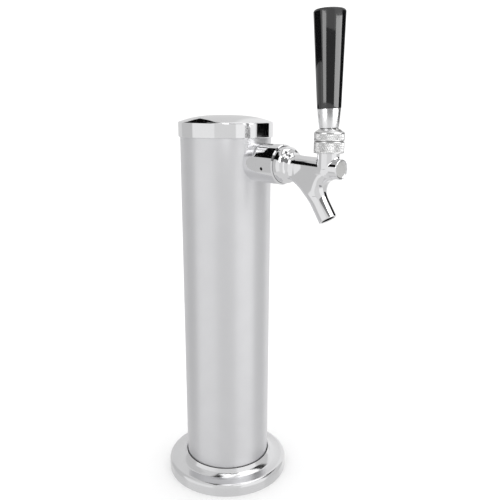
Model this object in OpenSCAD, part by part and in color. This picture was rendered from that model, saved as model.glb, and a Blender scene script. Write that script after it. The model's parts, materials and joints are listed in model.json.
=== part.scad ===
// Counter-top beer tower: a 3 inch stainless column with one draught faucet.
// Z is up, the faucet points along -Y, and the origin is the centre of the base's underside.

/* [Base] */
// Outside diameter of the trim ring that hides the base flange
ring_d = 110.6; // [110:0.1:114]
// Height of the trim ring's straight outer skirt
skirt_h = 8.2; // [7:0.1:9.5]
// Height of the trim ring's inner lip, where it meets the column
ring_h = 17.3; // [16:0.1:20]
// Diameter of the base flange
flange_d = 105; // [102:0.5:106]
// Thickness of the base flange
flange_t = 3; // [2:0.5:4]
// Thickness of the rubber gasket under the flange
gasket_t = 1.5; // [1:0.5:2]
// Diameter of the circle that the mounting holes lie on
bolt_circle_d = 88.9; // [88:0.1:90]
// Diameter of each mounting hole
bolt_hole_d = 5.5; // [4:0.1:6]
// Diameter of the hole that the beer line comes up through
line_hole_d = 60; // [40:1:62]

/* [Column] */
// Outside diameter of the column
column_d = 76.2; // [75:0.1:77]
// Wall thickness of the column
column_wall = 1; // [0.8:0.1:1.2]
// Height of the column's top edge
column_h = 320; // [280:1:360]
// Thickness of the insulation around the beer line's way
insulation_t = 22; // [15:1:24]

/* [Cap] */
// Outside diameter of the cap
cap_d = 79.06; // [79:0.02:80]
// Height of the cap's straight rim
cap_rim_h = 12.1; // [8:0.1:16]
// Rise of the cap's dome above its rim
dome_h = 5.4; // [3:0.1:9]

/* [Shank] */
// Depth of the shank's axis below the column's top edge
tap_drop = 29.2; // [27:0.1:40]
// Outside diameter of the shank
shank_d = 22.2; // [21:0.1:22.4]
// Length of the collar from the column's front to the coupling nut
collar_l = 11.4; // [8:0.1:14]
// Outside diameter of the collar
collar_d = 30.2; // [28:0.1:31]
// Outside diameter of the coupling nut
coupling_d = 30.7; // [30.4:0.1:32]
// Length of the coupling nut
coupling_l = 16.5; // [16:0.1:18]

/* [Faucet] */
// Diameter of the faucet's bell, in front of the coupling nut
bell_d = 28; // [27:0.1:28.2]
// Diameter of the faucet's barrel
barrel_d = 15.4; // [15:0.1:16]
// Distance from the front of the coupling nut to the lever's axis
lever_reach = 41.7; // [40:0.1:44]
// Distance from the lever's axis to the face of the front boss
boss_reach = 12; // [11:0.1:14]
// Outside diameter of the spout
spout_d = 13.8; // [13.4:0.1:15]
// Inside diameter of the spout
spout_bore_d = 10.4; // [9:0.1:10.6]
// Tilt of the spout forward of straight down
spout_tilt = 33.8; // [30:0.1:36]
// Depth of the spout's mouth centre below the shank's axis
spout_drop = 37.4; // [34:0.1:42]
// Outside diameter of the knurled rings above the faucet's neck
knurl_d = 21.8; // [21:0.1:22.4]

/* [Handle] */
// Lean of the shut lever back towards the column
lever_lean = 2.3; // [1:0.1:3]
// Diameter of the black handle at its foot
handle_foot_d = 17.2; // [16.6:0.1:18]
// Diameter of the black handle at its top
handle_top_d = 22.5; // [20:0.1:24]
// Length of the black handle
handle_l = 66; // [50:1:90]

/* [Hidden] */
$fn = 96;
over = 1;            // how far a cutter runs past the face that it cuts
run_gap = 0.05;      // radial clearance between a moving piece and its guide

// Base
ring_r = ring_d / 2;
ring_gap = 0.9;      // the trim ring is loose on the column
sheet_t = 0.9;       // thickness of the trim ring's sheet
shoulder_radius = 3.2;
flare_power = 5;     // how late the trim ring's top turns up towards the column
flare_steps = 12;
column_r = column_d / 2;
column_in_r = column_r - column_wall;
ring_in_r = column_r + ring_gap;
shoulder_r = ring_r - shoulder_radius;
shoulder_z = skirt_h + shoulder_radius;
flange_top = gasket_t + flange_t;
spigot_top = 15;
spigot_r = column_in_r - 0.1;
spigot_in_r = spigot_r - 2.5;
bolt_count = 4;
rivet_count = 3;
rivet_r = 2.4;
rivet_head = 0.8;    // thickness of a rivet's head, and how far it stands past the shank
rivet_seat = sqrt(pow(spigot_in_r, 2) - pow(rivet_r + rivet_head, 2)) - 0.02;   // just clear of the spigot
rivet_z = 10;
rivet_turn = 30;     // puts no rivet under the faucet
gasket_rim = 0.5;    // how far the gasket shows past the flange

// Column and cap
sleeve_r = column_in_r - 0.1;
line_way_r = sleeve_r - insulation_t;
sleeve_top = column_h - 70;
cap_r = cap_d / 2;
cap_in_r = column_r + 0.1;
cap_edge = 1;        // chamfer round the top of the cap's rim
cap_crown_t = 2;     // height of the cap's rim above the column's top edge
cap_t = 1.6;         // thickness of the dome
ledge_r = column_in_r - 1;
cap_foot = column_h + cap_crown_t - cap_rim_h;
dome_power = 2.9;    // above 2, so the dome is flatter on top and steeper at its edge
dome_steps = 14;

// Shank, measured forward from the column's axis
tap_z = column_h - tap_drop;
shank_r = shank_d / 2;
shank_bore_r = 3.2;
shank_back = 14;
nut_back = column_r + collar_l;
nut_front = nut_back + coupling_l;
nut_lip = 2;         // the nut's back wall, which pulls on the shank's flange
shank_flange_r = 12.9;
shank_flange_t = 3;
flange_face = nut_back + nut_lip + shank_flange_t;
washer_t = 1.7;
washer_r = 12.6;
washer_hole_r = 6;
body_back = flange_face + washer_t;
thread_r = 14.2;
saddle_t = 5;
locknut_t = 6;
locknut_flat = 27;
tail_nut_flat = 26;
tail_nut_t = 9;
tail_nut_back = 5.5; // how far the nut reaches back over the tailpiece's flange
spanner_hole_r = 1.3;
spanner_holes = 4;
spanner_turn = 11;   // the holes lie this far below level
spanner_at = nut_back + 5.8;
nut_chamfer = 0.8;
nut_edge = 0.3;

// Elbow tailpiece
elbow_r = 4.8;
elbow_bend = 9;
elbow_flange_r = 9.5;
elbow_flange_t = 2.5;
elbow_bore_r = 2.6;
elbow_neck = 2;      // straight length between the bend and the barbs
tail_washer_t = 1.5;
barb_root_r = 3.8;
barb_tip_r = 4.7;
barb_count = 3;
barb_step = 4;
barb_pilot = 6;

// Faucet
barrel_r = barrel_d / 2;
bell_r = bell_d / 2;
bell_flat = 3;       // straight length of the bell before it turns in
bell_round = 6;      // radius of the bell's outer turn
bell_turn = 60;      // how far the bell turns before the hollow fillet takes it to the barrel
arc_steps = 8;
lever_at = nut_front + lever_reach;
boss_face = lever_at + boss_reach;
boss_r = 7.2;
boss_edge = 0.5;
chamber_r = 9.5;
seat_at = nut_front;
barrel_bore_r = 4.3;
guide_bore_r = 5.75;
guide_back = lever_at - 18;
neck_r = 8.15;
ball_r = 6;
ball_z = tap_z + 13.2;
neck_top = ball_z + 2.5;
neck_pocket_r = 7;
neck_pocket_z = ball_z - 4.4;
neck_bore_r = 5.9;
vent_r = 0.8;        // the two vents let the spout drain when the faucet shuts
vent_at = lever_at - 3;
vent_drop = 12.5;    // depth of the vents' outer ends below the shank's axis
vent_turn = 65;      // how far each vent turns sideways from straight forward
vent_out = 4;        // how far a vent's cutter runs out past the web's side
vent_in = 10;        // how far it runs into the spout
spout_r = spout_d / 2;
spout_bore_r = spout_bore_d / 2;
spout_bore_l = 20;   // length of the wide bore; a narrower passage leads on to the barrel
spout_passage_r = 4.5;
spout_l = spout_drop / cos(spout_tilt);
spout_root = lever_at - 23.2;   // where the spout's axis meets the barrel's
spout_mouth = spout_root + spout_drop * tan(spout_tilt);
web_t = 9;           // width of the web between the spout and the front boss
web_round = 13;
web_drop = 19.8;     // depth of the web's foot below the shank's axis

// Rings round the lever's ball
knurl_r = knurl_d / 2;
bonnet_foot = ball_z - 2.1;
bonnet_top = ball_z + 6.1;
collar_foot = bonnet_top + 0.3;
collar_roof = 1;     // height of the collar's narrow hole below its wider room
collar_rim = ball_z + 12.2;
collar_skirt_r = 7.9;
collar_skirt_in_r = 7.1;
collar_room_r = 8.4;
collar_room_z = ball_z + 10.2;
collar_dome_r = sqrt(knurl_r * knurl_r + pow(collar_rim - ball_z, 2));
slot_half_w = 3.7;
slot_back = 4.5;
slot_front = knurl_r - 1.2;
friction_foot = neck_top + 0.1;
friction_top = friction_foot + 1.8;
friction_hole_r = 5.2;
ball_washer_top = ball_z - 2.2;
ball_washer_hole_r = 4.6;

// Lever, shaft and handle; heights are along the lever from its ball's centre
stem_r = 3.2;
paddle_r = 1.6;
paddle_tip_r = 2.4;
dome_gap = 0.15;     // clearance between the ferrule's foot and the collar's dome
ferrule_foot_r = 7;
ferrule_top_r = 8.4;
ferrule_pocket_r = 6.2;
ferrule_foot = sqrt(pow(collar_dome_r + dome_gap, 2) - pow(ferrule_pocket_r, 2));
ferrule_pocket = 1.5;
handle_foot = 28.6;
handle_dome = 2;     // rise of the handle's rounded top
handle_round = 1.6;
handle_chamfer = 0.5;
insert_r = 5.2;
insert_l = 18;
stem_top = handle_foot + 12;
guide_r = guide_bore_r - run_gap;
guide_foot = guide_back + 5.7;  // leaves room for the shaft's travel
shaft_flat_l = 12.4; // flat on the shaft's top, so that the lever clears it
shaft_stem_r = 2;
shaft_back = seat_at - 5.4;
shaft_recess = 0.4;  // how far the shut shaft's end lies inside the boss
seat_washer_t = 2.5;
seat_washer_r = 6.5;
shaft_nut_r = 4;
shaft_nut_t = 2.5;
shaft_flat_z = 1;    // height of the shaft's flat above its axis
pocket_floor = 0.3;  // clearance below the lever's tip in the shaft
slot_gap = 0.08;     // clearance on each side of the lever's tip in the shaft
tip_offset = (ball_z - tap_z) * sin(lever_lean);   // how far the lean carries the lever's tip forward

// Points on a circular arc in the X-Y plane, with both ends included
function arc(cx, cy, r, from, to, steps) =
    [for (i = [0:steps]) let(a = from + (to - from) * i / steps) [cx + r * cos(a), cy + r * sin(a)]];

// Height of the trim ring's top at radius r
function ring_top(r) =
    shoulder_z + (ring_h - shoulder_z) * pow((shoulder_r - r) / (shoulder_r - ring_in_r), flare_power);

// Height of the cap's top at radius r
function cap_top(r) =
    column_h + cap_crown_t + dome_h * (1 - pow(r / (cap_r - cap_edge), dome_power));

// Local Z runs forward along -Y, with local X along X; at is measured from the column's axis
module forward(at, z = tap_z) {
    translate([0, -at, z]) rotate([90, 0, 0]) children();
}

// Local Z runs up the shut lever from its ball's centre
module lever_frame() {
    translate([0, -lever_at, ball_z]) rotate([-lever_lean, 0, 0]) children();
}

// Local Z runs up the spout from the centre of its mouth
module spout_frame() {
    translate([0, -spout_mouth, tap_z - spout_drop]) rotate([-spout_tilt, 0, 0]) children();
}

module tube(r, bore_r, h) {
    difference() {
        cylinder(h = h, r = r);
        translate([0, 0, -over]) cylinder(h = h + 2 * over, r = bore_r);
    }
}

module hex(flat, h) {
    cylinder(h = h, r = flat / sqrt(3), $fn = 6);
}

module bolt_holes() {
    for (i = [0:bolt_count - 1])
        rotate([0, 0, 45 + 90 * i])
            translate([bolt_circle_d / 2, 0, -over])
                cylinder(h = flange_top + 2 * over, r = bolt_hole_d / 2);
}

module at_rivets() {
    for (i = [0:rivet_count - 1])
        rotate([0, 0, rivet_turn + 120 * i]) translate([0, 0, rivet_z]) rotate([0, 90, 0]) children();
}

module base_gasket() {
    color("#222222") difference() {
        tube(flange_d / 2 + gasket_rim, line_hole_d / 2 + 1, gasket_t);
        bolt_holes();
    }
}

module base_flange() {
    color("silver") difference() {
        union() {
            translate([0, 0, gasket_t]) cylinder(h = flange_t, r = flange_d / 2);
            translate([0, 0, gasket_t]) cylinder(h = spigot_top - gasket_t, r = spigot_r);
        }
        translate([0, 0, flange_top]) cylinder(h = spigot_top, r = spigot_in_r);
        translate([0, 0, -over]) cylinder(h = spigot_top, r = line_hole_d / 2);
        bolt_holes();
        at_rivets() cylinder(h = column_r, r = rivet_r);
    }
}

// Blind rivets, set flush outside so that the trim ring slides over them
module column_rivets() {
    color("gainsboro") at_rivets() union() {
        translate([0, 0, rivet_seat - rivet_head]) cylinder(h = rivet_head, r = rivet_r + rivet_head);
        translate([0, 0, rivet_seat - rivet_head / 2])
            cylinder(h = column_r - rivet_seat + rivet_head / 4, r = rivet_r);
    }
}

module column_tube() {
    color("lightgray") difference() {
        translate([0, 0, flange_top]) tube(column_r, column_in_r, column_h - flange_top);
        forward(0) cylinder(h = column_r + over, r = shank_r + 0.3);
        at_rivets() cylinder(h = column_r + over, r = rivet_r);
    }
}

module insulation_sleeve() {
    color("lightyellow") translate([0, 0, spigot_top]) tube(sleeve_r, line_way_r, sleeve_top - spigot_top);
}

module trim_ring() {
    flare = [for (i = [0:flare_steps]) shoulder_r + (ring_in_r - shoulder_r) * i / flare_steps];
    color("gainsboro") rotate_extrude() polygon(concat(
        [[ring_r, 0]],
        arc(shoulder_r, skirt_h, shoulder_radius, 0, 90, arc_steps),
        [for (i = [1:flare_steps]) [flare[i], ring_top(flare[i])]],
        [for (i = [flare_steps:-1:1]) [flare[i], ring_top(flare[i]) - sheet_t]],
        arc(shoulder_r, skirt_h, shoulder_radius - sheet_t, 90, 0, arc_steps),
        [[ring_r - sheet_t, 0]]));
}

// Push-on shell whose inner ledge rests on the column's top edge
module top_cap() {
    dome = [for (i = [0:dome_steps]) i / dome_steps];
    dome_r = cap_r - cap_edge;
    color("gainsboro") rotate_extrude() polygon(concat(
        [for (i = dome) [ledge_r * i, cap_top(ledge_r * i) - cap_t]],
        [[ledge_r, column_h], [cap_in_r, column_h], [cap_in_r, cap_foot]],
        [[cap_r, cap_foot], [cap_r, column_h + cap_crown_t - cap_edge]],
        [for (i = dome) [dome_r * (1 - i), cap_top(dome_r * (1 - i))]]));
}

module shank_collar() {
    color("gainsboro") difference() {
        forward(0) cylinder(h = nut_back, r = collar_d / 2);
        forward(0) cylinder(h = nut_back + over, r = shank_r);
        cylinder(h = column_h + cap_rim_h, r = column_r);
    }
}

module shank_body() {
    color("gainsboro") difference() {
        union() {
            forward(shank_back) cylinder(h = flange_face - shank_back, r = shank_r);
            forward(flange_face - shank_flange_t) cylinder(h = shank_flange_t, r = shank_flange_r);
        }
        forward(0) cylinder(h = flange_face + over, r = shank_bore_r);
    }
}

// Curved washer that fits the inside of the column
module inner_saddle() {
    color("silver") difference() {
        intersection() {
            forward(0) cylinder(h = column_r, r = collar_d / 2);
            cylinder(h = column_h, r = column_in_r);
        }
        forward(0) cylinder(h = column_in_r - saddle_t, r = collar_d / 2 + over);
        forward(0) cylinder(h = column_r, r = shank_r + 0.2);
    }
}

module shank_locknut() {
    color("goldenrod") difference() {
        forward(column_in_r - saddle_t - locknut_t) hex(locknut_flat, locknut_t);
        forward(0) cylinder(h = column_r, r = shank_r);
    }
}

module coupling_nut() {
    color("gainsboro") difference() {
        forward(nut_back) rotate_extrude() polygon([[0, 0], [coupling_d / 2 - nut_edge, 0],
            [coupling_d / 2, nut_edge], [coupling_d / 2, coupling_l - nut_chamfer],
            [coupling_d / 2 - nut_chamfer, coupling_l], [0, coupling_l]]);
        forward(nut_back - over) cylinder(h = coupling_l, r = shank_r + 0.1);
        forward(nut_back + nut_lip) cylinder(h = coupling_l, r = thread_r);
        forward(spanner_at) for (i = [0:spanner_holes - 1])
            rotate([0, 0, 360 / spanner_holes * i + spanner_turn])
                rotate([0, 90, 0]) cylinder(h = coupling_d, r = spanner_hole_r);
    }
}

module coupling_washer() {
    color("#333333") forward(flange_face) tube(washer_r, washer_hole_r, washer_t);
}

module tailpiece_washer() {
    color("#333333") forward(shank_back - tail_washer_t) tube(elbow_flange_r, shank_bore_r, tail_washer_t);
}

module tailpiece_nut() {
    color("gainsboro") difference() {
        forward(shank_back - tail_nut_back) hex(tail_nut_flat, tail_nut_t);
        forward(shank_back - tail_nut_back - over) cylinder(h = tail_nut_t, r = elbow_r + 0.2);
        forward(shank_back - tail_washer_t - elbow_flange_t) cylinder(h = tail_nut_t, r = shank_r);
    }
}

// Bent tailpiece: a flange against the shank's back end, a quarter bend and a hose barb
module elbow_tailpiece() {
    face = shank_back - tail_washer_t;
    bend_z = tap_z - elbow_bend;
    barb_top = bend_z - elbow_neck;
    barb_foot = barb_top - barb_count * barb_step - barb_pilot;
    color("gainsboro") difference() {
        union() {
            forward(face - elbow_flange_t) cylinder(h = elbow_flange_t, r = elbow_flange_r);
            forward(elbow_bend) cylinder(h = face - elbow_bend, r = elbow_r);
            elbow_quarter(elbow_r);
            translate([0, 0, barb_top]) cylinder(h = bend_z - barb_top, r = elbow_r);
            for (i = [0:barb_count - 1]) translate([0, 0, barb_top - (i + 1) * barb_step])
                cylinder(h = barb_step, r1 = barb_root_r, r2 = barb_tip_r);
            translate([0, 0, barb_foot]) cylinder(h = barb_pilot, r = barb_root_r);
        }
        forward(elbow_bend) cylinder(h = face, r = elbow_bore_r);
        elbow_quarter(elbow_bore_r);
        translate([0, 0, barb_foot - over]) cylinder(h = bend_z - barb_foot + over, r = elbow_bore_r);
    }
}

module elbow_quarter(r) {
    translate([0, -elbow_bend, tap_z - elbow_bend]) rotate([0, -90, 0])
        rotate_extrude(angle = 90) translate([elbow_bend, 0]) circle(r = r);
}

// Outline of the bell, barrel and front boss, turned about the shank's axis
module faucet_outline() {
    turn_x = bell_r - bell_round * (1 - cos(bell_turn));
    turn_y = nut_front + bell_flat + bell_round * sin(bell_turn);
    fillet_r = (turn_x - barrel_r) / (1 - cos(bell_turn));
    polygon(concat(
        [[0, body_back], [thread_r, body_back], [thread_r, nut_front]],
        [[bell_r, nut_front + nut_edge]],
        arc(bell_r - bell_round, nut_front + bell_flat, bell_round, 0, bell_turn, arc_steps),
        [for (i = [1:arc_steps]) let(a = bell_turn * (1 - i / arc_steps))
            [turn_x + fillet_r * (cos(bell_turn) - cos(a)),
             turn_y + fillet_r * (sin(bell_turn) - sin(a))]],
        [[boss_r, lever_at + 5], [boss_r, boss_face - boss_edge]],
        [[boss_r - boss_edge, boss_face], [0, boss_face]]));
}

// Side outline of the web that fills the corner between the spout and the boss
module web_outline() {
    difference() {
        polygon([[lever_at - 20, 0], [lever_at + 4, -3], [lever_at + 4, -boss_r],
            [lever_at - 1, -web_drop], [lever_at - 14, -web_drop]]);
        translate([lever_at + web_round, -boss_r - web_round + 1.5]) circle(r = web_round);
    }
}

module faucet_body() {
    color("gainsboro") difference() {
        union() {
            forward(0) rotate_extrude() faucet_outline();
            translate([0, -lever_at, tap_z]) cylinder(h = neck_top - tap_z, r = neck_r);
            spout_frame() cylinder(h = spout_l, r = spout_r);
            translate([web_t / 2, 0, tap_z]) rotate([0, 0, -90]) rotate([90, 0, 0])
                linear_extrude(web_t) web_outline();
        }
        forward(body_back - over) cylinder(h = seat_at - body_back + over, r = chamber_r);
        forward(body_back) cylinder(h = guide_back - body_back + over, r = barrel_bore_r);
        forward(guide_back) cylinder(h = boss_face, r = guide_bore_r);
        spout_frame() translate([0, 0, -over]) cylinder(h = spout_bore_l + over, r = spout_bore_r);
        spout_frame() cylinder(h = spout_l, r = spout_passage_r);
        translate([0, -lever_at, tap_z]) cylinder(h = neck_top, r = neck_bore_r);
        translate([0, -lever_at, neck_pocket_z]) cylinder(h = neck_top, r = neck_pocket_r);
        for (side = [-1, 1]) vent(side);
    }
}

// Drilled from the web's side, back into the spout's bore
module vent(side) {
    translate([side * web_t / 2, -vent_at, tap_z - vent_drop])
        rotate([0, 0, side * vent_turn]) rotate([90, 0, 0])
            translate([0, 0, -vent_in]) cylinder(h = vent_in + vent_out, r = vent_r);
}

// Seat with a spherical hollow under the lever's ball
module ball_washer() {
    color("ivory") difference() {
        translate([0, -lever_at, neck_pocket_z])
            tube(neck_pocket_r, ball_washer_hole_r, ball_washer_top - neck_pocket_z);
        translate([0, -lever_at, ball_z]) sphere(r = ball_r + run_gap);
    }
}

module friction_washer() {
    color("ivory") difference() {
        translate([0, -lever_at, friction_foot])
            tube(collar_skirt_r, friction_hole_r, friction_top - friction_foot);
        translate([0, -lever_at, ball_z]) sphere(r = ball_r + run_gap);
    }
}

module bonnet_nut() {
    color("silver") translate([0, -lever_at, 0]) difference() {
        translate([0, 0, bonnet_foot]) cylinder(h = bonnet_top - bonnet_foot, r = knurl_r);
        translate([0, 0, bonnet_foot - over]) cylinder(h = bonnet_top, r = collar_skirt_r);
        translate([0, 0, bonnet_foot - over]) cylinder(h = neck_top - bonnet_foot + over, r = neck_r);
    }
}

// Domed ring that screws into the bonnet; its dome is centred on the lever's ball
module lever_collar() {
    color("silver") translate([0, -lever_at, 0]) difference() {
        union() {
            intersection() {
                translate([0, 0, collar_foot]) cylinder(h = knurl_d, r = knurl_r);
                translate([0, 0, ball_z]) sphere(r = collar_dome_r);
            }
            translate([0, 0, friction_top]) cylinder(h = collar_rim - friction_top, r = collar_skirt_r);
        }
        translate([0, 0, friction_top - over])
            cylinder(h = collar_room_z - friction_top + over, r = collar_skirt_in_r);
        translate([0, 0, collar_foot + collar_roof])
            cylinder(h = collar_room_z - collar_foot - collar_roof, r = collar_room_r);
        translate([0, 0, collar_foot]) lever_slot();
    }
}

// Slot that lets the lever's stem swing forward
module lever_slot() {
    translate([0, slot_back - slot_half_w, 0]) cylinder(h = knurl_d, r = slot_half_w);
    translate([0, slot_half_w - slot_front, 0]) cylinder(h = knurl_d, r = slot_half_w);
    translate([-slot_half_w, slot_half_w - slot_front, 0])
        cube([2 * slot_half_w, slot_front + slot_back - 2 * slot_half_w, knurl_d]);
}

module lever() {
    color("silver") lever_frame() union() {
        sphere(r = ball_r);
        cylinder(h = stem_top, r = stem_r);
        translate([0, 0, tap_z - ball_z]) cylinder(h = ball_z - tap_z, r = paddle_r);
        translate([0, 0, tap_z - ball_z]) sphere(r = paddle_tip_r);
    }
}

module handle_ferrule() {
    color("gainsboro") lever_frame() difference() {
        translate([0, 0, ferrule_foot])
            cylinder(h = handle_foot - ferrule_foot, r1 = ferrule_foot_r, r2 = ferrule_top_r);
        translate([0, 0, ferrule_foot - over]) cylinder(h = ferrule_pocket + over, r = ferrule_pocket_r);
        cylinder(h = handle_foot + over, r = stem_r);
    }
}

module handle_insert() {
    color("goldenrod") lever_frame() difference() {
        translate([0, 0, handle_foot]) cylinder(h = insert_l, r = insert_r);
        cylinder(h = stem_top, r = stem_r);
    }
}

module tap_handle() {
    top = handle_foot + handle_l;
    top_r = handle_top_d / 2;
    color("#1a1a1a") lever_frame() difference() {
        rotate_extrude() polygon(concat(
            [[0, handle_foot], [handle_foot_d / 2 - handle_chamfer, handle_foot]],
            [[handle_foot_d / 2, handle_foot + handle_chamfer]],
            arc(top_r - handle_round, top - handle_dome - handle_round, handle_round, 0, 70, arc_steps),
            [[top_r / 2, top - handle_dome / 4], [0, top]]));
        cylinder(h = handle_foot + insert_l, r = insert_r);
    }
}

// Plunger: a guide with a pocket for the lever's tip, and a thin stem back to the seat washer
module shaft() {
    pocket = paddle_tip_r + slot_gap;
    color("goldenrod") difference() {
        union() {
            forward(guide_foot) cylinder(h = boss_face - shaft_recess - guide_foot, r = guide_r);
            forward(shaft_back) cylinder(h = guide_foot + over - shaft_back, r = shaft_stem_r);
        }
        translate([-guide_bore_r, -lever_at - shaft_flat_l / 2, tap_z + shaft_flat_z])
            cube([2 * guide_bore_r, shaft_flat_l, guide_bore_r]);
        translate([-pocket, -lever_at - tip_offset - pocket, tap_z - pocket - pocket_floor])
            cube([2 * pocket, 2 * pocket, guide_bore_r]);
    }
}

module seat_washer() {
    color("#333333") forward(seat_at - seat_washer_t) tube(seat_washer_r, shaft_stem_r, seat_washer_t);
}

module shaft_nut() {
    color("goldenrod") difference() {
        forward(seat_at - seat_washer_t - shaft_nut_t) hex(shaft_nut_r * sqrt(3), shaft_nut_t);
        forward(0) cylinder(h = seat_at, r = shaft_stem_r);
    }
}

base_gasket();
base_flange();
column_rivets();
column_tube();
insulation_sleeve();
trim_ring();
top_cap();
shank_collar();
shank_body();
inner_saddle();
shank_locknut();
coupling_nut();
coupling_washer();
tailpiece_washer();
tailpiece_nut();
elbow_tailpiece();
faucet_body();
ball_washer();
friction_washer();
bonnet_nut();
lever_collar();
lever();
handle_ferrule();
handle_insert();
tap_handle();
shaft();
seat_washer();
shaft_nut();
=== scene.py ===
"""Looks for the beer tap tower: a satin column, polished trim, a chrome faucet and a black handle."""
import json
import math

import bpy
import numpy as np
from mathutils import Matrix, Vector

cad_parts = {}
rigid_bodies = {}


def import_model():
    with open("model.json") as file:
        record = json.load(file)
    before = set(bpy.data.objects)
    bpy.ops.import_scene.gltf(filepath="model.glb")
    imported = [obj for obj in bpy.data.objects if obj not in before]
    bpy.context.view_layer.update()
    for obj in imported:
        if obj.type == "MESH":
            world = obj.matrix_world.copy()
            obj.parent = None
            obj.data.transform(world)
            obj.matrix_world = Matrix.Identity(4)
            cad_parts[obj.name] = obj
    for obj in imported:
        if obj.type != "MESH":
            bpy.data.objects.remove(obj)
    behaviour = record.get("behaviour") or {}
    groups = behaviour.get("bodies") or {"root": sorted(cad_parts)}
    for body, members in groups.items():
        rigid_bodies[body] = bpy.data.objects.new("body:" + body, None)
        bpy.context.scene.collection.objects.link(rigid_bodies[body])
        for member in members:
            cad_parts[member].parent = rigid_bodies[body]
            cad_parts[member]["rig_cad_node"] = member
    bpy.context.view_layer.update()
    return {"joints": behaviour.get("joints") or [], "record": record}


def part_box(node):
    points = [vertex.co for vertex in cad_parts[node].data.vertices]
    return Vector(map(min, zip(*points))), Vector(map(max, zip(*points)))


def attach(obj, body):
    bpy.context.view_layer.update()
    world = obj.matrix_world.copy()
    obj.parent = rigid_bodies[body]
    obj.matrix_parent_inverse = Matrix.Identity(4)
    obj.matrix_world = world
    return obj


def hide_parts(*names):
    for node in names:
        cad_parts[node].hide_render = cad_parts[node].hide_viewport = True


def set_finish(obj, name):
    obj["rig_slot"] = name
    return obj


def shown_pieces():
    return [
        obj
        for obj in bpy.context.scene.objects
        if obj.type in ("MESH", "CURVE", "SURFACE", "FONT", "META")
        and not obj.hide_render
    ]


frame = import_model()
MM = 0.001


# ------------------------------------------------------------ places and sizes, from the frame

def low(node):
    """The node's lowest corner in millimetres."""
    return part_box(node)[0] / MM


def high(node):
    """The node's highest corner in millimetres."""
    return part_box(node)[1] / MM


def radius(node):
    """Half of the node's width in millimetres."""
    return (high(node).x - low(node).x) / 2


def joint(name):
    """The frame's joint of that name."""
    return next(j for j in frame["joints"] if j["name"] == name)


def mount(name):
    """The record's mount of that name."""
    return next(m for m in frame["record"]["mounts"] if m["name"] == name)


COLUMN_R = radius("column_tube")
COLUMN_TOP = high("column_tube").z
TAP_Z = (low("coupling_nut").z + high("coupling_nut").z) / 2
NUT_FRONT = -low("coupling_nut").y
BODY_BACK = -high("faucet_body").y
BOSS_FACE = -low("faucet_body").y
LEVER_AT = -joint("lever_tilt")["pos_m"][1] / MM
BALL_Z = joint("lever_tilt")["pos_m"][2] / MM
SPOUT = mount("spout_outlet")
SPOUT_AXIS = Vector(SPOUT["axis"])
SPOUT_BORE_R = SPOUT["dims"]["r_mm"]
SPOUT_MOUTH = (Vector(SPOUT["pos_m"]) / MM) + SPOUT_AXIS * SPOUT["dims"]["length_mm"] / 2
LEVER_LEAN = 2.3  # degrees forward, when shut


# ------------------------------------------------------------ mesh helpers, in millimetres

def piece(name, verts, faces, body, slot, replaces=(), normals=None, sharp=None):
    """A closed mesh given in millimetres in the row frame, riding on a body of the frame."""
    mesh = bpy.data.meshes.new(name)
    mesh.from_pydata((np.asarray(verts) * MM).tolist(), [], faces)
    mesh.validate()
    mesh.polygons.foreach_set("use_smooth", [True] * len(mesh.polygons))
    if sharp is not None:
        mesh.set_sharp_from_angle(angle=math.radians(sharp))
    if normals is not None:
        mesh.normals_split_custom_set_from_vertices(normals.tolist())
    obj = bpy.data.objects.new(name, mesh)
    bpy.context.scene.collection.objects.link(obj)
    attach(obj, body)
    if replaces:
        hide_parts(*replaces)
    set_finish(obj, slot)
    return obj


def arc(cx, cy, r, start, end, steps=8):
    """Points on an arc, in degrees, with both ends."""
    turns = np.radians(np.linspace(start, end, steps + 1))
    return [(cx + r * math.cos(t), cy + r * math.sin(t)) for t in turns]


def lathe(outline, steps=192):
    """Turns a closed outline of (radius, height) points, anticlockwise, round Z."""
    angles = 2 * math.pi * np.arange(steps) / steps
    verts, rings = [], []
    for r, z in outline:
        if r < 1e-6:
            rings.append([len(verts)] * steps)
            verts.append((0, 0, z))
            continue
        rings.append(list(range(len(verts), len(verts) + steps)))
        verts += list(zip(r * np.cos(angles), r * np.sin(angles), np.full(steps, z)))
    faces = []
    for k, near in enumerate(rings):
        far = rings[(k + 1) % len(rings)]
        for i in range(steps):
            j = (i + 1) % steps
            corners = list(dict.fromkeys((near[i], near[j], far[j], far[i])))
            if len(corners) > 2:
                faces.append(tuple(corners))
    return np.array(verts, float), faces


def on_lever(verts):
    """Moves a shape made up Z from the ball's centre onto the shut lever."""
    turn = np.array(Matrix.Rotation(math.radians(-LEVER_LEAN), 3, "X"))
    return verts @ turn.T + np.array([0, -LEVER_AT, BALL_Z])


# ------------------------------------------------------------ signed distances, for the cast body

def rod(rho, t, r, t0, t1, edge=0.3):
    """Distance to a round rod of radius r from t0 to t1, with rounded edges."""
    a = rho - r + edge
    b = np.abs(t - (t0 + t1) / 2) - (t1 - t0) / 2 + edge
    return np.minimum(np.maximum(a, b), 0) + np.hypot(np.maximum(a, 0), np.maximum(b, 0)) - edge


def join(a, b, blend):
    """Union of two distances with a smooth fillet."""
    mix = np.clip(0.5 + 0.5 * (b - a) / blend, 0, 1)
    return b * (1 - mix) + a * mix - blend * mix * (1 - mix)


def cut(a, b, blend=0.4):
    """a without b, with a rounded edge."""
    return -join(-a, b, blend)


def ease(t):
    """0 below 0, 1 above 1, and smooth between."""
    t = np.clip(t, 0, 1)
    return t * t * (3 - 2 * t)


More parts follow.
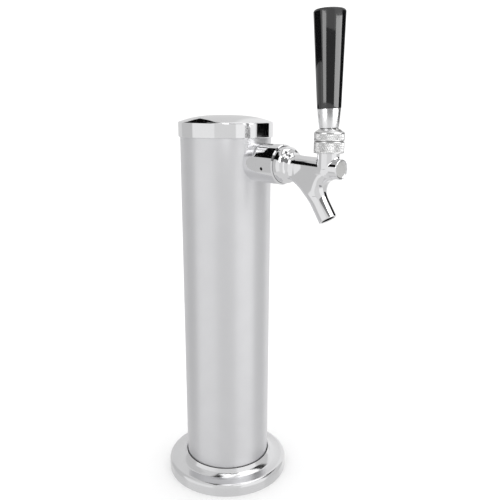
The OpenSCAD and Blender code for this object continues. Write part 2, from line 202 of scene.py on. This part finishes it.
def surface_net(field, lowest, highest, step):
    """A closed quad mesh of the surface where field(x, y, z) is 0, and its normals."""
    axes = [np.arange(a, b + step, step) for a, b in zip(lowest, highest)]
    grid = field(*np.meshgrid(*axes, indexing="ij"))
    inside = grid < 0
    shape = np.array(grid.shape) - 1
    corner_count = np.zeros(shape, np.int8)
    for i in (0, 1):
        for j in (0, 1):
            for k in (0, 1):
                corner_count += inside[i:shape[0] + i, j:shape[1] + j, k:shape[2] + k]
    mixed = (corner_count > 0) & (corner_count < 8)
    cells = np.argwhere(mixed)
    index = np.full(shape, -1)
    index[mixed] = np.arange(len(cells))
    total = np.zeros((len(cells), 3))
    hits = np.zeros(len(cells))
    quads = []
    for axis in range(3):
        unit = np.eye(3, dtype=int)[axis]
        side, up = np.eye(3, dtype=int)[(axis + 1) % 3], np.eye(3, dtype=int)[(axis + 2) % 3]
        for shift in (0 * side, side, up, side + up):
            a = cells + shift
            fa, fb = grid[tuple(a.T)], grid[tuple((a + unit).T)]
            crossed = (fa < 0) != (fb < 0)
            t = np.where(crossed, fa / np.where(crossed, fa - fb, 1), 0)
            total[crossed] += (a + t[:, None] * unit)[crossed]
            hits += crossed
        ends = [slice(0, s) for s in grid.shape]
        ends[axis] = slice(0, grid.shape[axis] - 1)
        nexts = list(ends)
        nexts[axis] = slice(1, grid.shape[axis])
        start_in, end_in = inside[tuple(ends)], inside[tuple(nexts)]
        for flip, crossing in ((False, start_in & ~end_in), (True, ~start_in & end_in)):
            edge = np.argwhere(crossing)
            ring = [index[tuple((edge - shift).T)] for shift in (side + up, up, 0 * side, side)]
            quad = np.stack(ring, axis=1)
            quads.append(quad[:, ::-1] if flip else quad)
    verts = np.array([a[0] for a in axes]) + step * total / hits[:, None]
    for _ in range(3):
        slope = gradient(field, verts)
        move = (field(*verts.T) / (slope ** 2).sum(1))[:, None] * slope
        verts -= np.clip(move, -step / 2, step / 2)
    slope = gradient(field, verts)
    return verts, np.concatenate(quads).tolist(), slope / np.linalg.norm(slope, axis=1)[:, None]


def gradient(field, points, reach=0.03):
    """Central differences of field at the points."""
    rows = []
    for unit in np.eye(3) * reach:
        rows.append(field(*(points + unit).T) - field(*(points - unit).T))
    return np.stack(rows, axis=1) / (2 * reach)


# ------------------------------------------------------------ base and cap

def make_trim_ring():
    """Pressed ring: straight skirt, round shoulder, flat top, hollow flare and a steep lip."""
    outer, top = radius("trim_ring"), high("trim_ring").z
    inner = COLUMN_R + 0.9
    shoulder, skirt, sheet = 3.2, 8.2, 0.9
    over = arc(outer - shoulder, skirt, shoulder, 4, 88, 20)
    # The hollow runs inwards and up through (radius, slope it ends at), from the flat top
    hollow = [(3, 27, 10), (16, 42, 16), (1.2, 60, 6)]
    r, z, slope, rise = 0, 0, 2, [(0, 0)]
    for bend, end, count in hollow:
        for k in range(count):
            step = math.radians(end - slope) / count
            middle = math.radians(slope) + (k + 0.5) * step
            r -= bend * step * math.cos(middle)
            z += bend * step * math.sin(middle)
            rise.append((r, z))
        slope = end
    lip_z = over[-1][1] + z
    lip_r = inner + (top - lip_z) / math.tan(math.radians(slope))
    climb = [(lip_r - r + a, over[-1][1] + b) for a, b in rise]
    skin = [(outer, 0), (outer, skirt - 0.6), (outer, skirt - 0.1)] + over
    skin += [(outer - shoulder - 0.5, over[-1][1])] + climb + [(inner, top)]
    back = [(inner + sheet * 0.4, top - sheet)] + [(a - 0.1, b - sheet) for a, b in climb[::-4]]
    back += arc(outer - shoulder, skirt, shoulder - sheet, 80, 0, 8) + [(outer - sheet, 0)]
    verts, faces = lathe(skin + back, 256)
    piece("trim_ring_shell", verts, faces, "trim", "polished_stainless", ["trim_ring"], sharp=50)


def make_cap():
    """Drawn shell with a straight rim, a small round edge and a shallow dome."""
    outer, foot, top = radius("top_cap"), low("top_cap").z, high("top_cap").z
    rim = COLUMN_TOP + 2
    edge = 1.0
    skin = [(outer, foot + 0.3), (outer, foot + 0.5), (outer, rim - edge - 0.15)]
    skin += arc(outer - edge, rim - edge, edge, 0, 62, 12)
    last_r, last_z = skin[-1]
    for k in range(1, 33):
        u = 1 - k / 32
        skin.append((last_r * u, last_z + (top - last_z) * (1 - u ** 2.7)))
    ledge = COLUMN_R - 2
    back = [(ledge * k / 12, last_z - 1.2 + (top - last_z - 0.4) * (1 - (k / 12) ** 2.7)) for k in range(13)]
    back += [(ledge, COLUMN_TOP), (COLUMN_R + 0.1, COLUMN_TOP), (COLUMN_R + 0.1, foot), (outer - 0.3, foot)]
    verts, faces = lathe(skin + back, 256)
    piece("cap_shell", verts, faces, "cap", "chrome_cap", ["top_cap"], sharp=50)


make_trim_ring()
make_cap()


# ------------------------------------------------------------ faucet: one smooth casting

BELL_R = 14
BELL_FLAT = 3
BELL_ROUND = 6
BELL_TURN = math.radians(60)
BARREL_R = 7.0
BOSS_R = 7.2
NECK_R = 8.15
NECK_TOP = BALL_Z + 2.5
SPOUT_R = 6.9
SPOUT_L = 46
BARREL_START = 78
GUIDE_BORE_R = 5.75
WEB_ROUND = 9.0  # radius of the hollow between the boss and the spout
WEB_FOOT = -20.2  # height above the axis where that hollow runs out on the spout
NUT_POCKET_R = 9.5
BARREL_BORE_R = 4.3
GUIDE_BACK = LEVER_AT - 19
BALL_BORE_R = 5.9
BALL_SEAT_R = 7
BALL_SEAT_Z = BALL_Z - 4.4
SPOUT_WAY_R = 4.5  # the narrower bore above the spout's mouth
VENT_R = 0.8
VENT_AT = LEVER_AT - 3
VENT_Z = TAP_Z - 12.5
VENT_TURN = math.radians(65)
FAUCET_STEP = 0.45  # size of the mesh's cells


def bell_radius(t):
    """Radius of the bell at t ahead of the nut: straight, then rounded, then hollow to the barrel."""
    turn_r = BELL_R - BELL_ROUND * (1 - math.cos(BELL_TURN))
    turn_t = BELL_FLAT + BELL_ROUND * math.sin(BELL_TURN)
    hollow = (turn_r - BARREL_R) / (1 - math.cos(BELL_TURN))
    end_t = turn_t + hollow * math.sin(BELL_TURN)
    outer = BELL_R - BELL_ROUND + np.sqrt(np.clip(BELL_ROUND ** 2 - (t - BELL_FLAT) ** 2, 0, None))
    inner = BARREL_R + hollow - np.sqrt(np.clip(hollow ** 2 - (end_t - t) ** 2, 0, None))
    beyond = BARREL_R - 0.3 * (t - end_t)
    return np.where(t < BELL_FLAT, BELL_R, np.where(t < turn_t, outer, np.where(t < end_t, inner, beyond)))


def faucet_field(x, y, z):
    """Signed distance, near enough, to the faucet's body."""
    ahead, up = -y, z - TAP_Z
    rho = np.hypot(x, up)
    neck = np.hypot(x, ahead - LEVER_AT)
    dy, dz = y - SPOUT_MOUTH.y, z - SPOUT_MOUTH.z
    along = -(dy * SPOUT_AXIS.y + dz * SPOUT_AXIS.z)
    across = dy * SPOUT_AXIS.z - dz * SPOUT_AXIS.y
    spout = np.hypot(x, across)

    # The barrel, the spout and the web between them are one outline of nearly even thickness
    # with rounded edges. Behind the lever the barrel's sides lean in above its axis.
    widen = ease((ahead - BARREL_START) / (LEVER_AT - BARREL_START))
    half = SPOUT_R + (0.1 + 1.1 * widen) * ease((along - 14) / 12)
    strip = np.maximum(np.abs(up) - 8.1 + 0.7 * widen, np.abs(ahead - 88) - 24)
    leg = np.maximum(np.abs(across) - SPOUT_R, np.abs(along - SPOUT_L / 2) - SPOUT_L / 2)
    web = np.maximum(np.abs(ahead - 98) - 14, np.maximum(np.abs(up + 13) - 13, -across - 5))
    fillet = WEB_ROUND - np.hypot(ahead - LEVER_AT - 6.1, up + 15.2)
    web = np.maximum(web, np.where(up > WEB_FOOT, fillet, across - SPOUT_R + 0.5 * (WEB_FOOT - up)))
    outline = join(strip, leg, 17 * np.clip((2 - up) / 8, 0.03, 1))
    outline = join(outline, web, 2.5 * np.clip((up - WEB_FOOT) / 8, 0.02, 1))
    edge = half - 3 * np.clip(1 - up / 4, 0, 1) * ease((along - 15) / 14)
    behind = 1 - ease((ahead - LEVER_AT + 4) / 8)
    edge = edge - 2 * np.clip(up / 3, 0, 1) * behind
    lean = 0.2 * (up + np.sqrt(up * up + 2)) * behind
    flat = outline + edge
    side = np.abs(x) - half + edge + lean
    arm = np.hypot(np.maximum(flat, 0), np.maximum(side, 0)) - edge

    # The bell, the boss in front, the neck up to the lever, the spout's mouth and the tail
    # inside the coupling nut are round.
    bell = 0.8 * (rho - bell_radius(ahead - NUT_FRONT))
    bell = np.maximum(np.maximum(bell, NUT_FRONT - 1 - ahead), ahead - LEVER_AT + 10)
    swell = np.clip((ahead - LEVER_AT + 6) / 8, 0, 1)
    boss = rod(rho + 2.5 * (1 - swell) ** 2, ahead, BOSS_R, LEVER_AT - 20, BOSS_FACE, edge=0.5)
    body = join(join(arm, boss, 1.5), bell, 2.5)
    blend = 2 * (1 - np.clip(np.abs(x) / 8, 0, 0.95))
    body = join(body, rod(neck, up, NECK_R, 0, NECK_TOP - TAP_Z, edge=0.3), blend)
    body = np.minimum(body, rod(spout, along, SPOUT_R, 0, 12, edge=0.35))
    body = join(body, rod(rho, ahead, BELL_R + 0.2, BODY_BACK, NUT_FRONT - 0.5), 0.1)

    # The bores, from back to front, then the ball's seat, the spout's bore and the two vents.
    body = cut(body, rod(rho, ahead, NUT_POCKET_R, BODY_BACK - 5, NUT_FRONT))
    body = cut(body, rod(rho, ahead, BARREL_BORE_R, BODY_BACK, LEVER_AT))
    body = cut(body, rod(rho, ahead, GUIDE_BORE_R, GUIDE_BACK, BOSS_FACE + 5), 0.1)
    body = cut(body, rod(rho, ahead, GUIDE_BORE_R + 0.6, BOSS_FACE - 0.7, BOSS_FACE + 5), 0.2)
    body = cut(body, rod(neck, up, BALL_BORE_R, 0, 40), 0.3)
    body = cut(body, rod(neck, up, BALL_SEAT_R, BALL_SEAT_Z - TAP_Z, 40), 0.3)
    body = cut(body, rod(spout, along, SPOUT_BORE_R, -5, 20), 0.5)
    body = cut(body, rod(spout, along, SPOUT_WAY_R, 0, SPOUT_L), 0.3)
    aside, front = np.abs(x) - 4.5, ahead - VENT_AT
    out = aside * math.sin(VENT_TURN) + front * math.cos(VENT_TURN)
    off = aside * math.cos(VENT_TURN) - front * math.sin(VENT_TURN)
    return cut(body, rod(np.hypot(off, z - VENT_Z), out, VENT_R, -6, 10), 0.2)


def make_faucet():
    """The faucet's body, cast and bored."""
    reach = 1.2
    lowest = (-BELL_R - reach, -BOSS_FACE - reach, SPOUT_MOUTH.z - SPOUT_R)
    highest = (BELL_R + reach, -BODY_BACK + reach, NECK_TOP + reach)
    verts, faces, normals = surface_net(faucet_field, lowest, highest, FAUCET_STEP)
    piece("faucet_casting", verts, faces, "tower", "chrome_faucet", ["faucet_body"], normals)


make_faucet()


# ------------------------------------------------------------ knurled rings round the lever's ball

KNURL_R = radius("bonnet_nut")
KNURL_COUNT = 48
KNURL_DEPTH = 0.35
KNURL_RISE = 2.4
SKIRT_R = 7.9
SKIRT_IN_R = 7.1
COLLAR_FOOT = high("bonnet_nut").z + 0.3
COLLAR_RIM = BALL_Z + 12.2
COLLAR_ROOM = BALL_Z + 10.2  # roof of the hollow round the lever's ball
SLOT_R = 3.7
SLOT_BACK = -4.5
SLOT_FRONT = KNURL_R - 1.2
RING_STEP = 0.22


def knurl(x, out, up):
    """Depth of a diamond knurl: two crossing sets of grooves round the lever's axis."""
    turn = np.arctan2(x, out) * KNURL_COUNT / (2 * math.pi)
    rise = up / KNURL_RISE
    crossing = [np.abs((turn + side * rise) % 1 - 0.5) * 2 for side in (-1, 1)]
    return KNURL_DEPTH * np.maximum(*crossing) ** 2


def bonnet_field(x, y, z):
    """Signed distance, near enough, to the bonnet nut."""
    out, up = -y - LEVER_AT, z
    rho = np.hypot(x, out)
    foot, top = low("bonnet_nut").z, high("bonnet_nut").z
    middle = np.clip((top - foot) / 2 - 0.7 - np.abs(up - (foot + top) / 2), 0, 0.3) / 0.3
    ring = rod(rho + knurl(x, out, up) * middle, up, KNURL_R, foot, top, edge=0.5)
    ring = cut(ring, rod(rho, up, SKIRT_R, foot - 5, top + 5), 0.2)
    return cut(ring, rod(rho, up, NECK_R, foot - 5, NECK_TOP), 0.2)


def collar_field(x, y, z):
    """Signed distance, near enough, to the lever's domed collar, its skirt and its slot."""
    out, up = -y - LEVER_AT, z
    rho = np.hypot(x, out)
    foot, skirt_foot, rim = COLLAR_FOOT, low("lever_collar").z, COLLAR_RIM
    dome = np.hypot(rho, up - BALL_Z) - math.hypot(KNURL_R, rim - BALL_Z)
    middle = np.clip((rim - foot) / 2 - 0.7 - np.abs(up - (foot + rim) / 2), 0, 0.3) / 0.3
    ring = rod(rho + knurl(x, out, up) * middle, up, KNURL_R, foot, rim + 8, edge=0.5)
    ring = cut(ring, -dome, 0.5)
    ring = join(ring, rod(rho, up, SKIRT_R, skirt_foot, rim), 0.1)
    ring = cut(ring, rod(rho, up, SKIRT_IN_R, skirt_foot - 1, COLLAR_ROOM), 0.2)
    along = np.clip(out, SLOT_BACK + SLOT_R, SLOT_FRONT - SLOT_R)
    slot = np.maximum(np.hypot(x, out - along) - SLOT_R, foot - up)
    return cut(ring, slot, 0.4)


def make_rings():
    """The bonnet nut and the lever's collar, with knurls in their shape."""
    for name, field in (("bonnet_nut", bonnet_field), ("lever_collar", collar_field)):
        margin = Vector((0.6, 0.6, 0.6))
        lowest, highest = low(name) - margin, high(name) + margin
        verts, faces, normals = surface_net(field, lowest, highest, RING_STEP)
        piece(name + "_knurled", verts, faces, "tower", "chrome_knurl", [name], normals)


make_rings()


# ------------------------------------------------------------ handle and ferrule, turned up the lever

HANDLE_FOOT = 28.6  # above the ball's centre, up the lever
HANDLE_L = 66
FERRULE_FOOT = 15.2
LEVER_HOLE_R = 3.2


def make_handle():
    """The tapered handle with its rounded top, and the ferrule below it."""
    foot_r, top_r = 8.6, 11.25
    top = HANDLE_FOOT + HANDLE_L
    outline = [(0, HANDLE_FOOT), (foot_r - 0.4, HANDLE_FOOT)]
    outline += arc(foot_r - 0.4, HANDLE_FOOT + 0.4, 0.4, -90, 0, 4)[1:]
    outline += arc(top_r - 1.8, top - 2.8, 1.8, 0, 66, 10)
    shoulder_r, shoulder_z = outline[-1]
    for k in range(1, 9):
        u = 1 - k / 8
        outline.append((shoulder_r * u, shoulder_z + (top - shoulder_z) * (1 - u * u)))
    verts, faces = lathe(outline, 192)
    piece("handle_grip", on_lever(verts), faces, "lever_arm", "black_handle", ["tap_handle"], sharp=40)

    foot_r, top_r = 7.0, 8.4
    outline = [(LEVER_HOLE_R, FERRULE_FOOT), (foot_r - 0.4, FERRULE_FOOT)]
    outline += arc(foot_r - 0.4, FERRULE_FOOT + 0.4, 0.4, -90, 0, 4)[1:]
    outline += arc(top_r - 0.4, HANDLE_FOOT - 0.4, 0.4, 0, 90, 4) + [(LEVER_HOLE_R, HANDLE_FOOT)]
    verts, faces = lathe(outline, 192)
    piece("ferrule_turned", on_lever(verts), faces, "lever_arm", "chrome_ferrule",
          ["handle_ferrule"], sharp=40)


make_handle()


# ------------------------------------------------------------ materials

class Tree:
    """Adds nodes to a node tree. An input may be a value or another node's output."""

    def __init__(self, owner):
        owner.use_nodes = True
        self.nodes = owner.node_tree.nodes
        self.links = owner.node_tree.links

    def give(self, socket, value):
        """Sets an input, or links another node's output to it."""
        if isinstance(value, bpy.types.NodeSocket):
            self.links.new(value, socket)
        else:
            socket.default_value = value

    def add(self, kind, inputs=None, **settings):
        """A new node with its inputs and settings."""
        node = self.nodes.new("ShaderNode" + kind)
        for key, value in settings.items():
            setattr(node, key, value)
        for key, value in (inputs or {}).items():
            self.give(node.inputs[key], value)
        return node

    def math(self, operation, *values):
        """One arithmetic step."""
        return self.add("Math", dict(enumerate(values)), operation=operation).outputs[0]

    def remap(self, value, from_low, from_high, low, high):
        """value taken linearly from one range to another, and kept inside it."""
        limits = {"From Min": from_low, "From Max": from_high, "To Min": low, "To Max": high}
        return self.add("MapRange", {"Value": value, **limits}).outputs[0]

    def noise(self, scale, detail=3, stretch=(1, 1, 1)):
        """Noise on the object's own coordinates, in metres, from 0 to 1."""
        place = self.add("TexCoord").outputs["Object"]
        place = self.add("Mapping", {"Vector": place, "Scale": stretch}).outputs[0]
        return self.add("TexNoise", {"Vector": place, "Scale": scale, "Detail": detail}).outputs[0]

    def mix(self, factor, a, b):
        """The colour a, or b as factor nears 1."""
        node = self.add("Mix", {"Factor": factor}, data_type="RGBA")
        for socket, colour in ((node.inputs[6], a), (node.inputs[7], b)):
            self.give(socket, colour if isinstance(colour, bpy.types.NodeSocket) else (*colour, 1))
        return node.outputs[2]


class Look(Tree):
    """A material with one Principled shader."""

    def __init__(self, name, **inputs):
        self.material = bpy.data.materials.new(name)
        super().__init__(self.material)
        self.shader = self.nodes["Principled BSDF"]
        self.set(**inputs)

    def set(self, **inputs):
        """Sets the shader's inputs by name."""
        sockets = {socket.name.lower().replace(" ", "_"): socket for socket in self.shader.inputs}
        for key, value in inputs.items():
            self.give(sockets[key], value)

    def bump(self, height, depth):
        """Bump from a 0 to 1 height; depth is in metres."""
        inputs = {"Height": height, "Distance": depth, "Strength": 1}
        self.set(normal=self.add("Bump", inputs).outputs[0])


def metal(name, colour, roughness, smudge=0.02):
    """Bare or plated metal with faint smudges."""
    look = Look(name, metallic=1.0)
    smears = look.noise(60, detail=4)
    darker = tuple(c * 0.94 for c in colour)
    look.set(base_color=look.mix(smears, colour, darker))
    look.set(roughness=look.remap(smears, 0.35, 0.65, roughness, roughness + smudge))
    return look


def satin_stainless():
    """Brushed round the column, so its reflections smear up and down."""
    look = metal("satin_stainless", (0.80, 0.80, 0.815), 0.345, 0.02)
    tangent = look.add("Tangent", direction_type="RADIAL", axis="Z").outputs[0]
    look.set(anisotropic=0.2, anisotropic_rotation=0.25, tangent=tangent)
    look.bump(look.noise(1, detail=1, stretch=(25, 25, 2500)), 4e-7)
    return look


def polished_stainless():
    """Polished sheet with faint level scratches."""
    look = metal("polished_stainless", (0.84, 0.84, 0.85), 0.12, 0.04)
    look.bump(look.noise(1, detail=2, stretch=(120, 120, 2500)), 4e-7)
    return look


def chrome(name, roughness):
    """Plated casting, very slightly wavy."""
    look = metal(name, (0.88, 0.88, 0.89), roughness)
    look.bump(look.noise(90, detail=1), 2e-5)
    return look


def knurled():
    """Plated knurl, a little matt."""
    look = metal("chrome_knurl", (0.74, 0.74, 0.74), 0.26, 0.08)
    look.bump(look.noise(2500, detail=2), 8e-6)
    return look


def machined(name, colour, roughness):
    """Turned or milled metal with fine marks."""
    look = metal(name, colour, roughness, 0.08)
    look.bump(look.noise(900, detail=3), 1.5e-5)
    return look


def zinc_steel():
    """Zinc plate with faint spangles."""
    look = Look("zinc_steel", metallic=1.0)
    place = look.add("TexCoord").outputs["Object"]
    spangle = look.add("TexVoronoi", {"Vector": place, "Scale": 220}).outputs["Color"]
    tone = look.add("RGBToBW", {"Color": spangle}).outputs[0]
    look.set(base_color=look.mix(tone, (0.52, 0.54, 0.56), (0.70, 0.71, 0.72)))
    look.set(roughness=look.remap(tone, 0, 1, 0.32, 0.5))
    look.bump(look.noise(700), 2e-5)
    return look


def moulded(name, colour, roughness, grain, depth):
    """Rubber or plastic with a fine grain."""
    look = Look(name)
    speckle = look.noise(grain, detail=4)
    lighter = tuple(min(1, c * 1.35 + 0.004) for c in colour)
    look.set(base_color=look.mix(speckle, colour, lighter))
    look.set(roughness=look.remap(speckle, 0.3, 0.7, roughness - 0.06, roughness + 0.08))
    look.bump(speckle, depth)
    return look


def foam():
    """Open-celled insulation."""
    look = Look("foam", roughness=0.9)
    place = look.add("TexCoord").outputs["Object"]
    cells = look.add("TexVoronoi", {"Vector": place, "Scale": 420}).outputs["Distance"]
    look.set(base_color=look.mix(cells, (0.86, 0.80, 0.52), (0.70, 0.62, 0.36)))
    look.bump(cells, 6e-4)
    return look


def black_handle():
    """Glossy black moulding."""
    look = moulded("black_handle", (0.003, 0.003, 0.0035), 0.06, 1400, 3e-7)
    look.set(specular_ior_level=1.0)
    return look


LOOKS = {
    "satin_stainless": satin_stainless(),
    "polished_stainless": polished_stainless(),
    "chrome_cap": chrome("chrome_cap", 0.05),
    "chrome_faucet": chrome("chrome_faucet", 0.04),
    "chrome_knurl": knurled(),
    "chrome_ferrule": chrome("chrome_ferrule", 0.26),
    "plated_steel": machined("plated_steel", (0.74, 0.73, 0.71), 0.22),
    "lever_steel": machined("lever_steel", (0.86, 0.86, 0.85), 0.20),
    "brass": machined("brass", (0.80, 0.60, 0.27), 0.25),
    "zinc_steel": zinc_steel(),
    "black_rubber": moulded("black_rubber", (0.018, 0.018, 0.018), 0.72, 900, 6e-5),
    "white_plastic": moulded("white_plastic", (0.82, 0.81, 0.76), 0.42, 600, 2e-5),
    "foam": foam(),
    "black_handle": black_handle(),
}


def dress():
    """Gives every CAD node and every new piece the look of its material slot."""
    slots = {row["node"]: row["material_slot"] for row in frame["record"]["subparts"]}
    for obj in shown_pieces():
        slot = slots.get(obj.get("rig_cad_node"), obj.get("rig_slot"))
        material = LOOKS[slot].material
        if not obj.data.materials:
            obj.data.materials.append(material)
        for index in range(len(obj.data.materials)):
            obj.data.materials[index] = material


dress()


# ------------------------------------------------------------ studio

CAMERA_DISTANCE = 0.50219
CAMERA_HEIGHT = 0.33127
CAMERA_SIDE = math.radians(43.21)
CAMERA_YAW = math.radians(2.38)
CAMERA_PITCH = math.radians(15.34)
CAMERA_ROLL = math.radians(0.29)
CAMERA_LENS = 42.0
CAMERA_SHIFT = 0.0404
SOFT_LIGHT = 1.2


def make_camera():
    """Above the cap and to the left of the faucet, looking down at the column."""
    data = bpy.data.cameras.new("camera")
    data.sensor_width = 36
    data.lens = CAMERA_LENS
    data.shift_y = CAMERA_SHIFT
    data.clip_start = 0.01
    camera = bpy.data.objects.new("camera", data)
    bpy.context.scene.collection.objects.link(camera)
    turn = Matrix.Rotation(-CAMERA_SIDE - CAMERA_YAW, 4, "Z")
    tilt = Matrix.Rotation(math.pi / 2 - CAMERA_PITCH, 4, "X")
    roll = Matrix.Rotation(CAMERA_ROLL, 4, "Z")
    back = Vector((-math.sin(CAMERA_SIDE), -math.cos(CAMERA_SIDE), 0)) * CAMERA_DISTANCE
    back.z = CAMERA_HEIGHT
    camera.matrix_world = Matrix.Translation(back) @ turn @ tilt @ roll
    bpy.context.scene.camera = camera


def make_floor():
    """A wide pale sweep that the metal doesn't mirror: it mirrors the studio's cards instead."""
    half = 60
    mesh = bpy.data.meshes.new("floor")
    mesh.from_pydata([(-half, -half, 0), (half, -half, 0), (half, half, 0), (-half, half, 0)], [],
                     [(0, 1, 2, 3)])
    floor = bpy.data.objects.new("floor", mesh)
    bpy.context.scene.collection.objects.link(floor)
    floor.visible_glossy = False
    look = Look("floor", roughness=0.9)
    look.set(base_color=look.mix(look.noise(3), (0.93, 0.93, 0.93), (0.95, 0.95, 0.95)))
    mesh.materials.append(look.material)


# What the metal mirrors, in degrees. A bearing is counted from the camera's side of the object,
# rightwards as the camera sees it. Each card has its middle bearing, half its width, its lowest
# and highest elevation, and its brightness; a later card hides an earlier one.
BACKGROUND = 0.70
CARDS = [
    (-106, 22, -34, 60, 0.58),
    (-54, 30, -34, 25, 0.88),
    (2, 26, -34, 60, 0.74),
    (52, 26, -34, 60, 0.97),
    (40, 24, 38, 60, 1.20),
    (104, 23, -34, 60, 0.64),
    (152, 25, -34, 60, 0.88),
]
CARD_EDGE = 2.5
# The overhead light: its middle and half size on a plane one unit above, and its dark frame.
OVERHEAD_MIDDLE = (-0.02, 0.30)
OVERHEAD_HALF = (0.46, 0.50)
OVERHEAD_LIGHT = 1.3
FRAME_WIDTH = 0.09


def near_card(name, centre, distance, bearings, elevations, level):
    """A card round a point given in millimetres, black or glowing, that only shiny faces see."""
    across, up = 12, 8
    lowest, highest = elevations
    leftmost, rightmost = bearings
    verts = []
    for i in range(up + 1):
        rise = math.radians(lowest + (highest - lowest) * i / up)
        for k in range(across + 1):
            bearing = math.radians(leftmost + (rightmost - leftmost) * k / across)
            turn = bearing - math.pi / 2 - CAMERA_SIDE - CAMERA_YAW
            level_x, level_y = math.cos(turn) * math.cos(rise), math.sin(turn) * math.cos(rise)
            away = Vector((level_x, level_y, math.sin(rise)))
            verts.append(Vector(centre) * MM + away * distance)
    row = across + 1
    faces = [(i * row + k, i * row + k + 1, (i + 1) * row + k + 1, (i + 1) * row + k)
             for i in range(up) for k in range(across)]
    mesh = bpy.data.meshes.new(name)
    mesh.from_pydata(verts, [], faces)
    card = bpy.data.objects.new(name, mesh)
    bpy.context.scene.collection.objects.link(card)
    card.visible_camera = card.visible_diffuse = card.visible_shadow = False
    look = Look(name, roughness=0.9, specular_ior_level=0.0)
    look.set(base_color=look.mix(look.noise(40), (0.001, 0.001, 0.001), (0.003, 0.003, 0.003)))
    look.set(emission_color=(1, 1, 1, 1), emission_strength=level)
    mesh.materials.append(look.material)


def make_cards():
    """What the faucet and the handle mirror close by.

    A black flag hangs over the coupling nut. The handle has two bright strips with a dark
    gap between them, and a black flag on its right.
    """
    nut = (0, -(NUT_FRONT - 8), TAP_Z)
    near_card("flag", nut, 0.16, (-148, -50), (26, 53), 0)
    handle = (0, -LEVER_AT, BALL_Z + 62)
    near_card("left_strip", handle, 0.10, (-60.2, -34), (-26, 26), 3.3)
    near_card("middle_flag", handle, 0.10, (-34, 35), (-26, 17.7), 0.22)
    near_card("right_strip", handle, 0.10, (35, 85.5), (-26, 26), 3.8)
    near_card("right_flag", handle, 0.35, (88, 142), (-12, 17), 0)


def make_world():
    """White all round for soft light; what the metal mirrors is a ring of pale and dark cards."""
    world = bpy.data.worlds.new("studio")
    bpy.context.scene.world = world
    tree = Tree(world)
    toward = tree.add("TexCoord").outputs["Generated"]
    turned = tree.add("VectorRotate", {"Vector": toward, "Angle": math.pi / 2 + CAMERA_SIDE + CAMERA_YAW},
                      rotation_type="Z_AXIS").outputs[0]
    parts = tree.add("SeparateXYZ", {"Vector": turned}).outputs
    bearing = tree.math("DEGREES", tree.math("ARCTAN2", parts["Y"], parts["X"]))
    elevation = tree.math("DEGREES", tree.math("ARCSINE", parts["Z"]))
    mirrored = BACKGROUND
    for middle, half, bottom, top, brightness in CARDS:
        aside = tree.math("WRAP", tree.math("SUBTRACT", bearing, middle), 180, -180)
        beyond = tree.math("SUBTRACT", tree.math("ABSOLUTE", aside), half)
        above = tree.math("SUBTRACT", elevation, top)
        below = tree.math("SUBTRACT", bottom, elevation)
        outside = tree.math("MAXIMUM", beyond, tree.math("MAXIMUM", above, below))
        shown = tree.remap(outside, -CARD_EDGE / 2, CARD_EDGE / 2, 1, 0)
        inputs = {0: shown, 2: mirrored, 3: brightness}
        mirrored = tree.add("Mix", inputs, data_type="FLOAT").outputs[0]
    rise = tree.math("MAXIMUM", parts["Z"], 0.01)
    sides = []
    for name, middle, half in zip("XY", OVERHEAD_MIDDLE, OVERHEAD_HALF):
        reach = tree.math("SUBTRACT", tree.math("DIVIDE", parts[name], rise), middle)
        sides.append(tree.math("SUBTRACT", tree.math("ABSOLUTE", reach), half))
    outside = tree.math("MAXIMUM", *sides)
    for margin, brightness in ((FRAME_WIDTH, 0.02), (0, OVERHEAD_LIGHT)):
        shown = tree.remap(outside, margin - 0.01, margin + 0.01, 1, 0)
        inputs = {0: shown, 2: mirrored, 3: brightness}
        mirrored = tree.add("Mix", inputs, data_type="FLOAT").outputs[0]
    glossy = tree.add("LightPath").outputs["Is Glossy Ray"]
    level = tree.add("Mix", {0: glossy, 2: SOFT_LIGHT, 3: mirrored}, data_type="FLOAT").outputs[0]
    tree.give(tree.nodes["Background"].inputs["Strength"], level)
    tree.nodes["Background"].inputs["Color"].default_value = (1, 1, 1, 1)


make_camera()
make_floor()
make_cards()
make_world()
bpy.context.scene.view_settings.view_transform = "Standard"
